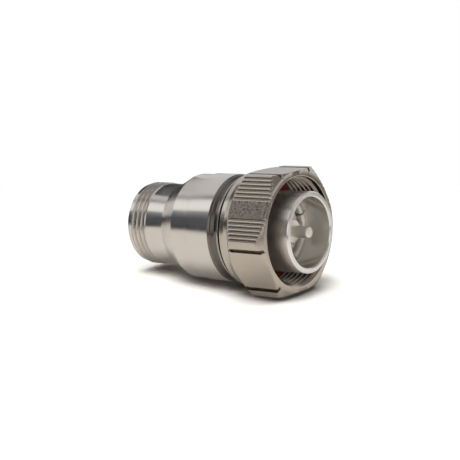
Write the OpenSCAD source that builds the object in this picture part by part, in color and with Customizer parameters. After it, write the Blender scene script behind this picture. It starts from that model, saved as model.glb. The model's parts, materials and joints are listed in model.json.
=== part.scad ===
// Coaxial adapter: a threaded jack at the rear, a plug with a free-spinning coupling nut at the front.
// Every piece is turned about the adapter's axis. Stations are measured along that axis, forward from
// the rear face, and lie() lays the finished adapter on its side, as it comes to rest on a table.

/* [Rear jack] */
// Outside diameter of the rear coupling thread, over the crests
rear_thread_d = 15.875; // [13.5:0.005:18.5]
// Station where the rear coupling thread ends
rear_thread_end = 4.9; // [4:0.1:6]
// Diameter of the plain ring in front of the thread's first turn
lead_d = 15.3; // [12.5:0.05:18]
// Length of the plain lead ring
lead_l = 1.15; // [0.9:0.05:1.5]
// Bore of the rear mouth
mouth_d = 8.1; // [6.8:0.05:9.6]
// Depth of the rear mouth
mouth_depth = 9.2; // [7.7:0.1:11]

/* [Rear body] */
// Diameter of the neck between the thread and the cone
neck_d = 15.5; // [13:0.05:18]
// Length of the neck
neck_l = 4; // [3:0.1:5]
// Length of the cone from the neck out to the barrel
cone_l = 4; // [3:0.1:5]
// Diameter of the barrel
barrel_d = 19.68; // [16.5:0.02:21.5]
// Length of the barrel before the raised band
barrel_l = 3.3; // [2.6:0.1:4]
// Height of the raised band over the barrel
band_step = 0.18; // [0.1:0.02:0.4]
// Length of the raised band
band_l = 5.75; // [4.6:0.05:7]

/* [Collar behind the nut] */
// Length of the necked collar
collar_l = 1.4; // [1.1:0.05:1.8]
// Depth of the neck in the collar
collar_neck = 0.45; // [0.2:0.05:0.8]
// Length of the bead that stops the nut
bead_l = 0.6; // [0.4:0.05:0.9]
// Gap between the bead and the nut's rear face
nut_gap = 0.7; // [0.3:0.05:1]

/* [Coupling nut] */
// Major diameter of the nut's thread
nut_thread_d = 20; // [18:0.1:24]
// Pitch of the nut's thread
nut_thread_pitch = 1; // [0.75:0.25:1.25]
// Wall between a flat of the hexagon and the thread's major diameter
nut_flat_wall = 1; // [0.8:0.05:1.6]
// Overall length of the nut
nut_l = 10.3; // [8.6:0.1:12.4]
// Length of the hexagonal part
hex_l = 7.7; // [6.4:0.1:8.4]
// Thickness of the inner wall at the nut's rear
nut_wall = 1.1; // [0.9:0.05:1.3]
// Grip grooves on each side of a grip facet
grip_count = 6; // [3:1:6]
// Spacing of the grip grooves
grip_pitch = 0.78; // [0.7:0.02:0.84]
// Distance of the first grip groove from the facet's middle
grip_first = 1.95; // [1.6:0.05:2]
// Width of the slots on the smooth facets
slot_w = 0.8; // [0.5:0.05:1]
// Depth of the slots on the smooth facets
slot_depth = 0.7; // [0.4:0.05:0.8]

/* [Front plug] */
// Outside diameter of the guide sleeve
sleeve_d = 14.75; // [12.3:0.05:16.4]
// Wall of the guide sleeve
sleeve_wall = 1.02; // [0.85:0.01:1.25]
// How far the guide sleeve stands out of the nut
sleeve_reach = 2.43; // [2:0.01:3]
// Wall of the outer contact's fingers
finger_wall = 0.65; // [0.5:0.01:0.75]
// How far the outer contact sits back from the sleeve's front
finger_recess = 5.3; // [4.4:0.1:6.4]
// Slots between the outer contact's fingers
finger_slots = 8; // [4:1:12]
// Diameter of the centre pin
pin_d = 2.14; // [1.8:0.02:2.6]
// Length of the centre pin in front of its shoulder
pin_l = 3.5; // [2.9:0.1:4.2]
// Thickness of the gasket
gasket_t = 1.8; // [1.5:0.1:2.2]

/* [Inner line] */
// Diameter of the inner conductor towards the rear
line_d = 3.04; // [2.6:0.02:3.6]
// Bore of the outer conductor round it
line_bore_d = 7; // [6:0.1:8]
// Diameter of the inner conductor in the plug
front_line_d = 4.3; // [3.6:0.05:5.1]
// Thickness of both insulator beads
bead_t = 2; // [1.6:0.1:2.4]
// Bore of the rear socket contact
socket_bore_d = 1.66; // [1.4:0.02:1.9]
// How far the socket contact sits back from the rear face
socket_recess = 4.4; // [3.7:0.1:5.2]

/* [Fits] */
// Radial clearance of pressed fits
press_gap = 0.02; // [0.01:0.01:0.05]
// Radial running clearance of the nut on its bearing
running_gap = 0.06; // [0.03:0.01:0.1]
// Clearance on each side of the retaining ring
ring_gap = 0.1; // [0.05:0.01:0.15]

/* [Hidden] */
$fn = 96;
over = 1;                 // how far a cutter runs past the face that it opens
edge = 0.2;               // common edge break

// Stations along the axis, from the rear face forward
neck_end = rear_thread_end + neck_l;
barrel_start = neck_end + cone_l;
band_start = barrel_start + barrel_l;
seam = band_start + band_l;
bead_start = seam + collar_l;
bead_end = bead_start + bead_l;
nut_rear = bead_end + nut_gap;
nut_front = nut_rear + nut_l;
hex_rear = nut_front - hex_l;
wall_front = nut_rear + nut_wall;
ring_t = 0.7;
ring_rear = wall_front + ring_gap;
groove_end = ring_rear + ring_t + ring_gap / 2;
land_l = 0.6;
gasket_seat = groove_end + land_l;
gasket_front = gasket_seat + gasket_t;
sleeve_front = nut_front + sleeve_reach;
finger_front = sleeve_front - finger_recess;
pin_tip = sleeve_front - edge;
pin_shoulder = pin_tip - pin_l;
lip_l = 2;
rear_bead_at = mouth_depth + lip_l;
shank_rear = rear_bead_at + bead_t;
front_bead_at = seam + 0.55;
contact_seat = front_bead_at + bead_t;
contact_seat_l = 2.5;
sleeve_floor = contact_seat + contact_seat_l;

// Radii
rear_thread_r = rear_thread_d / 2;
lead_r = lead_d / 2;
neck_r = neck_d / 2;
barrel_r = barrel_d / 2;
band_r = barrel_r + band_step;
shank_r = mouth_d / 2 + 1.95;
nut_thread_r = nut_thread_d / 2;
nut_minor_r = nut_thread_r - 0.5413 * nut_thread_pitch;
flat_r = nut_thread_r + nut_flat_wall;
corner_r = flat_r / cos(30) - 0.15;
rim_r = flat_r + 0.08;
chamfer_l = 0.65 * (corner_r - rim_r); // length of the turned corners at each end of the hexagon
groove_r = 0.25;
nut_collar_r = nut_thread_r + 0.45;
nut_relief_r = nut_thread_r - 0.1;
bearing_r = nut_minor_r - 0.46;
ring_groove_r = bearing_r - 0.6;
sleeve_r = sleeve_d / 2;
sleeve_bore_r = sleeve_r - sleeve_wall;
undercut_r = sleeve_r - sleeve_wall / 4;
contact_r = sleeve_bore_r - 0.6;
contact_bore_r = contact_r - finger_wall;
finger_r = sleeve_bore_r - 0.25;
finger_tip_r = sleeve_bore_r - running_gap;
hub_front = finger_front - 1;
finger_slot_w = 0.35;
gasket_r = nut_minor_r - 0.36;
line_r = line_d / 2;
front_line_r = front_line_d / 2;
socket_bore_r = socket_bore_d / 2;
bead_neck_r = line_r - 0.32;
stud_r = line_r / 2;
stud_l = 3;
socket_slot_w = 0.25;

// The adapter touches the table with the barrel's rear corner and with the rear edge of a flat
flat_start = hex_rear - chamfer_l / 2 + 0.05 * 1.5 * chamfer_l / (corner_r - flat_r + 0.05);
rest_tilt = atan((flat_r - barrel_r) / (flat_start - barrel_start));

// Lays the adapter down, the front end up by the resting tilt
module lie() rotate([0, -rest_tilt, 0]) children();

// A solid turned about the axis from an outline of [radius, station] points
module turned(outline) rotate([0, 90, 0]) rotate_extrude() polygon(outline);

// A round rod along the axis direction, standing off the axis towards +Z
module rod(start, end, r, height) translate([start, 0, height]) rotate([0, 90, 0]) cylinder(r = r, h = end - start);

// The children, turned from the top of the axis round to a facet; facet 0 faces the table
module on_facet(k) rotate([180 + 60 * k, 0, 0]) children();

module rear_body() color("#c9c2b8") lie() turned([
    [mouth_d / 2 + edge, 0], [lead_r - 2 * edge, 0], [lead_r, 2 * edge], [lead_r, lead_l],
    [rear_thread_r, lead_l + rear_thread_r - lead_r], [rear_thread_r, rear_thread_end - edge],
    [neck_r, rear_thread_end], [neck_r, neck_end], [barrel_r, barrel_start], [barrel_r, band_start],
    [band_r, band_start + band_step], [band_r, seam - edge], [band_r - edge, seam],
    [shank_r, seam], [shank_r, rear_bead_at], [line_bore_d / 2, rear_bead_at],
    [line_bore_d / 2, mouth_depth], [mouth_d / 2, mouth_depth], [mouth_d / 2, edge]]);

module front_body() color("#8d8880") lie() turned([
    [line_bore_d / 2, shank_rear], [shank_r - press_gap, shank_rear], [shank_r - press_gap, seam],
    [barrel_r, seam], [barrel_r, seam + edge], [barrel_r - collar_neck, seam + edge + collar_neck],
    [barrel_r - collar_neck, bead_start - edge], [barrel_r + band_step / 2, bead_start + edge],
    [barrel_r + band_step / 2, bead_end - edge / 2], [barrel_r, bead_end], [bearing_r, bead_end],
    [bearing_r, wall_front + ring_gap / 2], [ring_groove_r, wall_front + ring_gap / 2],
    [ring_groove_r, groove_end], [bearing_r, groove_end], [bearing_r, gasket_seat],
    [undercut_r, gasket_seat], [undercut_r, gasket_front + edge / 2],
    [sleeve_r, gasket_front + edge / 2], [sleeve_r, sleeve_front - edge], [sleeve_r - edge, sleeve_front],
    [sleeve_bore_r + edge, sleeve_front], [sleeve_bore_r, sleeve_front - edge],
    [sleeve_bore_r, sleeve_floor], [contact_r + press_gap, sleeve_floor],
    [contact_r + press_gap, front_bead_at], [line_bore_d / 2, front_bead_at]]);

// The nut's blank: a rear collar and cone, then a hexagon with its corners turned down at both ends
module nut_blank() intersection() {
    translate([nut_rear, 0, 0]) rotate([0, 90, 0]) rotate([0, 0, 30])
        cylinder(r = flat_r / cos(30), h = nut_l, $fn = 6);
    turned([[0, nut_rear], [nut_collar_r - edge, nut_rear], [nut_collar_r, nut_rear + edge],
            [nut_collar_r, nut_rear + 0.9], [flat_r - 0.05, hex_rear - chamfer_l / 2],
            [corner_r, hex_rear + chamfer_l], [corner_r, nut_front - chamfer_l], [rim_r, nut_front],
            [0, nut_front]]);
}

// The nut's inside: bearing wall, relief over the retaining ring, threaded length and countersunk mouth
module nut_bore() turned([
    [0, nut_rear - over], [bearing_r + running_gap, nut_rear - over], [bearing_r + running_gap, wall_front],
    [nut_relief_r, wall_front], [nut_relief_r, groove_end + land_l], [nut_minor_r, gasket_seat + 0.5],
    [nut_minor_r, nut_front - (nut_thread_r - nut_minor_r) - 0.1], [nut_thread_r + 0.1, nut_front],
    [nut_thread_r + 0.1, nut_front + over], [0, nut_front + over]]);

// Grip grooves on both sides of a grip facet, with a plain strip left in the middle
module grip_grooves() for (side = [-1, 1], i = [0:grip_count - 1])
    translate([0, side * (grip_first + i * grip_pitch), 0])
        rod(hex_rear - chamfer_l, nut_front + over, groove_r, flat_r - 0.05);

// A slot beside each corner of a smooth facet, running out at both ends
module corner_slots() for (side = [-1, 1])
    translate([hex_rear - chamfer_l, side * 0.41 * flat_r - slot_w / 2, flat_r - slot_depth])
        cube([hex_l + chamfer_l + over, slot_w, slot_depth + over]);

module coupling_nut() color("#b3a89c") lie() difference() {
    nut_blank();
    nut_bore();
    for (k = [0, 2, 4]) {
        on_facet(k) grip_grooves();
        on_facet(k + 1) corner_slots();
    }
}

// A split ring in the groove of the front body, which keeps the nut on
module retaining_ring() color("#77736c") lie() difference() {
    turned([[ring_groove_r + press_gap, ring_rear], [nut_relief_r - 0.3, ring_rear],
            [nut_relief_r - 0.3, ring_rear + ring_t], [ring_groove_r + press_gap, ring_rear + ring_t]]);
    translate([ring_rear - over, 0, -1.5]) cube([ring_t + 2 * over, 2 * nut_relief_r, 3]);
}

// A soft ring held on the sleeve by the undercut at its root
module interface_gasket() color("#7c2c27") lie() turned([
    [undercut_r + press_gap, gasket_seat], [gasket_r, gasket_seat],
    [gasket_r, gasket_front - edge], [gasket_r - edge, gasket_front],
    [undercut_r + press_gap, gasket_front]]);

// A cup pressed into the front body, its rim slotted into spring fingers that line the sleeve
module outer_contact() color("#a39b8c") lie() difference() {
    turned([[contact_bore_r, contact_seat], [contact_r, contact_seat], [contact_r, sleeve_floor],
            [finger_r, sleeve_floor], [finger_r, finger_front - 1.6], [finger_tip_r, finger_front - 1],
            [finger_tip_r, finger_front - edge], [finger_tip_r - edge, finger_front],
            [finger_r - finger_wall + edge, finger_front], [finger_r - finger_wall, finger_front - edge],
            [finger_r - finger_wall, sleeve_floor + 0.8], [contact_bore_r, sleeve_floor + 0.8]]);
    for (i = [0:finger_slots - 1]) rotate([(i + 0.5) * 360 / finger_slots, 0, 0])
        translate([sleeve_floor + 0.8, -finger_slot_w / 2, 0])
            cube([finger_front - sleeve_floor, finger_slot_w, finger_tip_r + over]);
}

// The plug's inner conductor with its contact pin, drilled at the rear for the socket's stud
module centre_pin() color("#c9c4b6") lie() {
    difference() {
        turned([[0, shank_rear], [line_r, shank_rear], [line_r, contact_seat], [front_line_r, contact_seat],
                [front_line_r, pin_shoulder - edge], [front_line_r - edge, pin_shoulder],
                [pin_d / 2, pin_shoulder], [pin_d / 2, pin_tip - 0.26 * pin_d],
                [0.43 * pin_d, pin_tip - 0.07 * pin_d], [0.24 * pin_d, pin_tip], [0, pin_tip]]);
        turned([[0, shank_rear - over], [stud_r + press_gap, shank_rear - over],
                [stud_r + press_gap, shank_rear + stud_l + edge], [0, shank_rear + stud_l + edge]]);
    }
}

// The rear socket: a bored, slit tip, a neck through the rear bead, and a stud into the centre pin
module centre_socket() color("#c8a55a") lie() difference() {
    turned([[0, socket_recess], [line_r - edge, socket_recess], [line_r, socket_recess + edge],
            [line_r, rear_bead_at], [bead_neck_r, rear_bead_at], [bead_neck_r, shank_rear],
            [stud_r, shank_rear], [stud_r, shank_rear + stud_l], [0, shank_rear + stud_l]]);
    rod(socket_recess - over, socket_recess + 5, socket_bore_r, 0);
    for (i = [0, 1]) rotate([45 + 90 * i, 0, 0])
        translate([socket_recess - over, -socket_slot_w / 2, -line_d])
            cube([4 + over, socket_slot_w, 2 * line_d]);
}

// A flat bead that centres the inner conductor
module bead(station, r, hole_r) turned([[hole_r, station], [r, station], [r, station + bead_t], [hole_r, station + bead_t]]);

// The front bead runs forward as a hub inside the contact's fingers
module front_insulator() color("#eceae2") lie() turned([
    [line_r + press_gap, front_bead_at], [contact_r, front_bead_at], [contact_r, contact_seat],
    [contact_bore_r - press_gap, contact_seat], [contact_bore_r - press_gap, hub_front],
    [front_line_r + press_gap, hub_front], [front_line_r + press_gap, contact_seat],
    [line_r + press_gap, contact_seat]]);

module rear_insulator() color("#eceae2") lie() bead(rear_bead_at, shank_r - press_gap, bead_neck_r + press_gap);

rear_body();
front_body();
coupling_nut();
retaining_ring();
interface_gasket();
outer_contact();
centre_pin();
centre_socket();
front_insulator();
rear_insulator();
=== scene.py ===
import json
import math

import bmesh
import bpy
import numpy as np
from mathutils import Matrix, Vector


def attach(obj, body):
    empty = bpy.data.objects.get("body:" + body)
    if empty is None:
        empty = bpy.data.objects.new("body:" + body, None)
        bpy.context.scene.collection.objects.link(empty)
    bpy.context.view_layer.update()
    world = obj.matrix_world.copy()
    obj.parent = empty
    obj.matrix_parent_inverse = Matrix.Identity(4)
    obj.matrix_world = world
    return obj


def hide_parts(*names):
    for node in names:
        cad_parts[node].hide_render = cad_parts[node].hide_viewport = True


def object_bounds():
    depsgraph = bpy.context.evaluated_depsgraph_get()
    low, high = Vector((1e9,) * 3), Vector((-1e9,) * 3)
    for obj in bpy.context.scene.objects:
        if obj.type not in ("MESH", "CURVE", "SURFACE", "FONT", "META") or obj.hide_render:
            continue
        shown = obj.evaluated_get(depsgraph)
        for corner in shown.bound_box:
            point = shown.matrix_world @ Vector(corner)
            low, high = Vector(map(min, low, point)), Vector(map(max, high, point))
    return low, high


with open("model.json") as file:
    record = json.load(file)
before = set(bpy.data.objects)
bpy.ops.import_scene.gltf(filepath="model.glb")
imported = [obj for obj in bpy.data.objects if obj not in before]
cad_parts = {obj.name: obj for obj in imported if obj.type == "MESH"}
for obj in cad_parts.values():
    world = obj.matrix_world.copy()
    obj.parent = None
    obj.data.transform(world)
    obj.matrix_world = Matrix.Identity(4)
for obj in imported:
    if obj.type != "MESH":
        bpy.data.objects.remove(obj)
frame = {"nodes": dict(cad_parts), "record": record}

bl_info = {
    "name": "Coaxial adapter looks",
    "version": (1, 0, 0),
    "blender": (4, 5, 0),
    "location": "View3D > Sidebar > Adapter",
    "description": "Builds the machined surfaces and plated finishes of a coaxial adapter",
    "category": "Add Mesh",
}

MM = 0.001
CAD_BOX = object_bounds()
MIDDLE = (Vector(CAD_BOX[0]) + Vector(CAD_BOX[1])) / 2
MOUNTS = {mount["name"]: mount for mount in frame["record"]["mounts"]}
AXIS = Vector(MOUNTS["guide_sleeve"]["axis"]).normalized()
LEAN = math.atan2(AXIS.z, AXIS.x)
LAID = Matrix.Rotation(-LEAN, 4, "Y")

# Meshes: columns round each turned piece, the step between rings along the rear thread, the angle at which an
# edge stays sharp, how near its wall a point is for a thread to cut it, and the radius of a point on the axis
TURNED_COLUMNS = 192
BORE_COLUMNS = 168
PIN_COLUMNS = 64
THREAD_STEP = 0.055 * MM
SHARP_ANGLE = math.radians(32)
WALL_REACH = 0.4 * MM
ON_AXIS = 1e-9

# Breaks of turned edges, from a crisp one to a plain corner break, and the gap of a press fit
CRISP = 0.06 * MM
SOFT = 0.12 * MM
EDGE = 0.2 * MM
PRESS_GAP = 0.02 * MM

# The kinds of node that are used most
MATHS = "ShaderNodeMath"
VECTOR = "ShaderNodeVectorMath"
RANGE = "ShaderNodeMapRange"
BLEND = "ShaderNodeMix"
NOISE = "ShaderNodeTexNoise"

# Finishes: how far turning draws a highlight out, the colour of the painted shade by the seam, the colour of
# the nut's dark specks and painted shade, how much painted shade the nut's bore gets, and (place, level)
# stops:
# painted shade by a cut's share of the deepest one, and painted shade near the seam
DRAWN_OUT = 0.88
SEAM_SHADE_COLOUR = (0.085, 0.066, 0.052, 1)
SPECK_AND_SHADE = (0.07, 0.055, 0.045, 1)
BORE_SHADE = 0.62
GROOVE_SHADE = ((0.07, 0.0), (0.38, 0.65), (0.5, 0.65), (0.8, 0.2))
BAND_SHADE = ((0.0, 0.0), (0.25, 0.0), (0.4, 0.8))
COLLAR_SHADE = ((0.0, 0.9), (0.42, 0.9), (0.43, 0.6), (0.61, 0.6), (0.62, 0.9), (0.9, 0.9), (1.0, 0.0))

# Studio: the lamps, the ambient strength at the horizon and overhead, how far the paper floor is lifted where
# it is seen and where it is mirrored, its glow in mirrors, and its shade where something touches it
KEY_WATTS = 1.0
OVERHEAD_WATTS = 8.6
SNOOT_WATTS = 8.4
AMBIENT = (0.02, 0.36)
PAPER_LIFT = 1.25
MIRRORED_LIFT = 0.2
UNDERSIDE_GLOW = 0.1
CONTACT_SHADE = 0.3
WHITE = (1, 1, 1, 1)
CARD_BLACK = (0.03, 0.032, 0.035, 1)

# The room as bright metal mirrors it: tones by turn round the axis on the left, and by height on the right
CEILING = (0.76, 0.77, 0.8)
SHADED = (0.3, 0.31, 0.32)
WINDOW = (1.15, 1.17, 1.2)
LEFT_PANELS = ((0.0, CEILING), (0.56, CEILING), (0.575, SHADED), (0.605, SHADED), (0.64, WINDOW),
               (0.765, WINDOW), (0.79, (0.3, 0.33, 0.36)), (0.88, (0.09, 0.1, 0.12)),
               (1.0, (0.09, 0.1, 0.11)))
RIGHT_PANELS = ((0.0, (0.5, 0.5, 0.5)), (0.15, (0.85, 0.85, 0.85)), (0.42, (0.85, 0.85, 0.85)),
                (0.55, (0.26, 0.26, 0.26)), (0.78, (0.26, 0.26, 0.26)), (0.88, (0.75, 0.75, 0.76)))


# Measures taken from the frame

def along(node):
    """Stations of a CAD node's rear and front ends on the adapter's axis."""
    stations = [vertex.co.dot(AXIS) for vertex in frame["nodes"][node].data.vertices]
    return min(stations), max(stations)


def girth(node):
    """Largest radius of a CAD node about the adapter's axis."""
    vertices = frame["nodes"][node].data.vertices
    return max((vertex.co - AXIS * vertex.co.dot(AXIS)).length for vertex in vertices)


def mount_radius(name):
    return MOUNTS[name]["dims"]["r_mm"] * MM


def mount_station(name):
    """Stations of both ends of a mount's wall."""
    middle = Vector(MOUNTS[name]["pos_m"]).dot(AXIS)
    half = MOUNTS[name]["dims"]["length_mm"] * MM / 2
    return middle - half, middle + half


SEAM = along("rear_body")[1]
NUT_REAR, NUT_FRONT = along("coupling_nut")
SLEEVE_FRONT = along("front_body")[1]
THREAD_START, THREAD_END = mount_station("rear_thread")
SLEEVE_R = mount_radius("guide_sleeve")


# Sizes and colours that a user would change

def length(label, text, default):
    return bpy.props.FloatProperty(name=label, description=text, default=default, unit="LENGTH",
                                   precision=6)


def share(label, text, default):
    return bpy.props.FloatProperty(name=label, description=text, default=default, min=0, max=1,
                                   subtype="FACTOR")


def linear(code):
    """A colour written as sRGB hex, as linear red, green and blue."""
    parts = [int(code[i:i + 2], 16) / 255 for i in (1, 3, 5)]
    return tuple(c / 12.92 if c <= 0.04045 else ((c + 0.055) / 1.055) ** 2.4 for c in parts)


def colour(label, text, code):
    return bpy.props.FloatVectorProperty(name=label, description=text, default=linear(code), size=3,
                                         min=0, max=1, subtype="COLOR")


class AdapterBodySizes(bpy.types.PropertyGroup):
    pitch: length("Thread pitch", "Pitch of the rear thread, 24 turns to the inch", 25.4 * MM / 24)
    depth: length("Thread depth", "Depth of the rear thread's grooves", 0.72 * MM)
    lead_r: length("Lead ring radius", "Radius of the plain ring before the thread", 7.65 * MM)
    lead_end: length("Lead ring end", "Station where the lead ring ends", 1.15 * MM)
    mouth_r: length("Mouth radius", "Radius of the rear mouth", 4.05 * MM)
    mouth_depth: length("Mouth depth", "Depth of the rear mouth", 9.2 * MM)
    neck_r: length("Neck radius", "Radius of the neck behind the thread", 7.75 * MM)
    neck_end: length("Neck end", "Station where the neck runs into the cone", 8.9 * MM)
    barrel_r: length("Barrel radius", "Radius of the barrel", 9.84 * MM)
    barrel_start: length("Barrel start", "Station where the cone meets the barrel", 12.9 * MM)
    band_start: length("Band start", "Station where the raised band starts", 16.2 * MM)
    band_r: length("Band radius", "Radius of the raised band", 10.02 * MM)
    shank_r: length("Shank radius", "Radius of the bore that takes the front body", 6 * MM)
    line_r: length("Line radius", "Radius of the bore round the inner conductor", 3.5 * MM)
    lip_l: length("Lip length", "Length of the line's bore between the mouth and the rear bead", 2 * MM)
    bead_t: length("Bead thickness", "Thickness of each insulator bead", 2 * MM)
    plate: colour("Plate colour", "White bronze plate", "#d4cdc5")
    rough: share("Roughness", "Roughness of the turned plate", 0.22)


class AdapterPlugSizes(bpy.types.PropertyGroup):
    collar_neck: length("Collar neck", "Depth of the necked collar behind the nut", 0.45 * MM)
    bead_start: length("Bead start", "Station where the bead behind the nut starts", 23.35 * MM)
    bead_end: length("Bead end", "Station where the bead ends", 23.95 * MM)
    bearing_r: length("Bearing radius", "Radius that the nut turns on", 8.9987 * MM)
    gasket_seat: length("Gasket seat", "Station of the shoulder behind the gasket", 27.2 * MM)
    bore_r: length("Sleeve bore radius", "Inside radius of the guide sleeve", 6.355 * MM)
    floor: length("Sleeve floor", "Station of the floor inside the sleeve", 27 * MM)
    undercut: length("Undercut", "Depth of the undercut that holds the gasket", 0.255 * MM)
    bead_rise: length("Bead rise", "Height of the bead over the barrel", 0.09 * MM)
    contact_r: length("Contact radius", "Outside radius of the spring contact", 5.755 * MM)
    core_r: length("Conductor radius", "Radius of the inner conductor behind the plug", 1.52 * MM)
    stud_r: length("Stud hole radius", "Radius of the hole for the rear socket's stud", 0.78 * MM)
    stud_l: length("Stud hole depth", "Depth of the hole for the rear socket's stud", 3.2 * MM)
    bead_seat: length("Bead seat", "Station of the shoulder behind the front insulator", 22.5 * MM)
    plate: colour("Plate colour", "White bronze plate, bright turned", "#ebe7e1")
    rough: share("Roughness", "Roughness of the bright plate", 0.24)
    pin: colour("Pin colour", "Silver plate on the pin and the contact", "#ebe6de")
    gold: colour("Socket colour", "Gold plate on the rear socket", "#d8ab5a")
    rubber: colour("Gasket colour", "Dark red silicone", "#8f2f2a")
    plastic: colour("Insulator colour", "White turned fluoropolymer", "#eeece6")
    steel: colour("Ring colour", "Hard drawn spring steel", "#8c8780")


class AdapterNutSizes(bpy.types.PropertyGroup):
    pitch: length("Thread pitch", "Pitch of the nut's thread", 1 * MM)
    thread_r: length("Thread radius", "Major radius of the nut's thread", 10 * MM)
    flat_r: length("Flat radius", "Distance of the flats from the axis", 11 * MM)
    corner_r: length("Corner radius", "Radius that the corners are turned down to", 12.55 * MM)
    rim_r: length("Rim radius", "Outside radius of the front rim", 11.08 * MM)
    hex_start: length("Hexagon start", "Station where the hexagon starts", 27.25 * MM)
    chamfer: length("Corner length", "Length over which the corners are turned down at each end", 0.957 * MM)
    collar_r: length("Collar radius", "Radius of the nut's rear collar", 10.45 * MM)
    relief_end: length("Relief end", "Station where the inside relief ends", 27.2 * MM)
    wall_front: length("Wall front", "Station of the front of the nut's rear wall", 25.75 * MM)
    running_gap: length("Running gap", "Gap between the nut's bore and its bearing", 0.06 * MM)
    grip_first: length("First groove", "Distance of the first grip groove from the facet's middle", 1.95 * MM)
    grip_pitch: length("Groove spacing", "Spacing of the grip grooves", 0.78 * MM)
    grip_count: bpy.props.IntProperty(name="Grooves", description="Grip grooves on each side", default=6,
                                      min=1)
    groove_w: length("Groove width", "Width of a grip groove", 0.46 * MM)
    groove_depth: length("Groove depth", "Depth of a grip groove", 0.3 * MM)
    slot_at: length("Slot offset", "Distance of a slot from its facet's middle", 4.51 * MM)
    slot_w: length("Slot width", "Width of a slot", 0.8 * MM)
    slot_depth: length("Slot depth", "Depth of a slot", 0.7 * MM)
    nose_depth: length("Ridge end", "Depth to which the ridges are rounded off beside the rim", 0.12 * MM)
    plate: colour("Plate colour", "Nickel plate, warm grey", "#c0b5a8")
    rough: share("Roughness", "Roughness of the milled plate", 0.2)


class AdapterStageSizes(bpy.types.PropertyGroup):
    azimuth: bpy.props.FloatProperty(name="Azimuth", description="Camera's turn about the vertical",
                                     default=math.radians(37.1), subtype="ANGLE")
    elevation: bpy.props.FloatProperty(name="Elevation", description="Camera's height as an angle",
                                       default=math.radians(12.986), subtype="ANGLE")
    distance: length("Distance", "Distance of the camera from its target", 226 * MM)
    target: bpy.props.FloatVectorProperty(name="Target", description="Point that the camera looks at",
                                          default=(18.57 * MM, 0.73 * MM, 0.83 * MM), subtype="XYZ")
    focal: bpy.props.FloatProperty(name="Focal length", description="Lens for a 36 mm sensor, in millimetres",
                                   default=93.9, subtype="DISTANCE_CAMERA")
    ground: colour("Floor colour", "Plain pale floor", "#dfddd9")
    sweep: length("Floor size", "Side of the square floor", 4.0)


# Outlines and turned meshes

def rounded(corners, arc_steps=4):
    """A closed outline of (station, radius) points from (station, radius, fillet) corners."""
    outline = []
    for i, (station, radius, fillet) in enumerate(corners):
        here = np.array((station, radius))
        back = np.array(corners[i - 1][:2]) - here
        ahead = np.array(corners[(i + 1) % len(corners)][:2]) - here
        near, far = np.linalg.norm(back), np.linalg.norm(ahead)
        half = math.acos(np.clip(back @ ahead / (near * far), -1, 1)) / 2
        if not fillet or half > math.radians(88):
            outline.append((station, radius))
            continue
        reach = min(fillet / math.tan(half), 0.45 * near, 0.45 * far)
        start, end = here + back / near * reach, here + ahead / far * reach
        for step in range(arc_steps + 1):
            t = step / arc_steps
            outline.append(tuple((1 - t) ** 2 * start + 2 * t * (1 - t) * here + t * t * end))
    return outline


def divided(outline, start, end, radius, step):
    """The outline with extra points along the wall at about that radius from start to end."""
    slack = 0.3 * MM
    result = []
    for (s0, r0), (s1, r1) in zip(outline, outline[1:] + outline[:1]):
        result.append((s0, r0))
        on_wall = max(abs(r0 - radius), abs(r1 - radius)) < WALL_REACH
        if on_wall and min(s0, s1) > start - slack and max(s0, s1) < end + slack:
            count = int(abs(s1 - s0) / step)
            result += [(s0 + (s1 - s0) * i / count, r0 + (r1 - r0) * i / count) for i in range(1, count)]
    return result


def ring_of(station, radius, columns):
    """A ring of points about the X axis; the first lies straight above it."""
    angles = np.arange(columns) * 2 * math.pi / columns
    return np.column_stack([np.full(columns, station), -radius * np.sin(angles), radius * np.cos(angles)])


def skin_faces(rings, columns, closed):
    """Quads between neighbouring rings of equal counts."""
    last = rings if closed else rings - 1
    across = np.arange(columns)
    beside = np.roll(across, -1)
    faces = []
    for i in range(last):
        low, high = i * columns, (i + 1) % rings * columns
        faces += np.column_stack([low + across, low + beside, high + beside, high + across]).tolist()
    return faces


def mesh_of(name, points, faces):
    mesh = bpy.data.meshes.new(name)
    mesh.from_pydata([tuple(point) for point in points], [], faces)
    return mesh


def placed(name, data):
    """A new object of a mesh, a lamp or a camera, in the scene."""
    thing = bpy.data.objects.new(name, data)
    bpy.context.scene.collection.objects.link(thing)
    return thing


def closed_piece(mesh, merge=True):
    """An object of a closed mesh, its doubled points merged where asked, and its faces turned outward."""
    work = bmesh.new()
    work.from_mesh(mesh)
    if merge:
        bmesh.ops.remove_doubles(work, verts=work.verts, dist=1e-7)
        bmesh.ops.dissolve_degenerate(work, edges=work.edges, dist=1e-8)
    bmesh.ops.recalc_face_normals(work, faces=work.faces)
    work.to_mesh(mesh)
    work.free()
    return placed(mesh.name, mesh)


def turned(name, outline, columns=TURNED_COLUMNS):
    """A solid turned about the X axis from a closed outline."""
    points = np.vstack([ring_of(station, radius, columns) for station, radius in outline])
    return closed_piece(mesh_of(name, points, skin_faces(len(outline), columns, True)))


def noted(mesh, name, values):
    """Keeps a number or a vector on each point of a mesh, and zero on the points past the last value."""
    whole = np.zeros((len(mesh.vertices), *values.shape[1:]), np.float32)
    whole[:len(values)] = values
    kind, field = ("FLOAT_VECTOR", "vector") if values.ndim > 1 else ("FLOAT", "value")
    mesh.attributes.new(name, kind, "POINT").data.foreach_set(field, whole.ravel())


def laid_down(piece, material, node, body):
    """Finishes a piece made along X: leans it into place, shades it, puts it under its body's empty and hides
    the CAD node it replaces.
    """
    piece.data.transform(LAID)
    piece.data.materials.clear()
    piece.data.materials.append(material)
    piece.data.polygons.foreach_set("use_smooth", [True] * len(piece.data.polygons))
    piece.data.set_sharp_from_angle(angle=SHARP_ANGLE)
    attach(piece, body)
    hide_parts(node)


# Node trees

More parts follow.
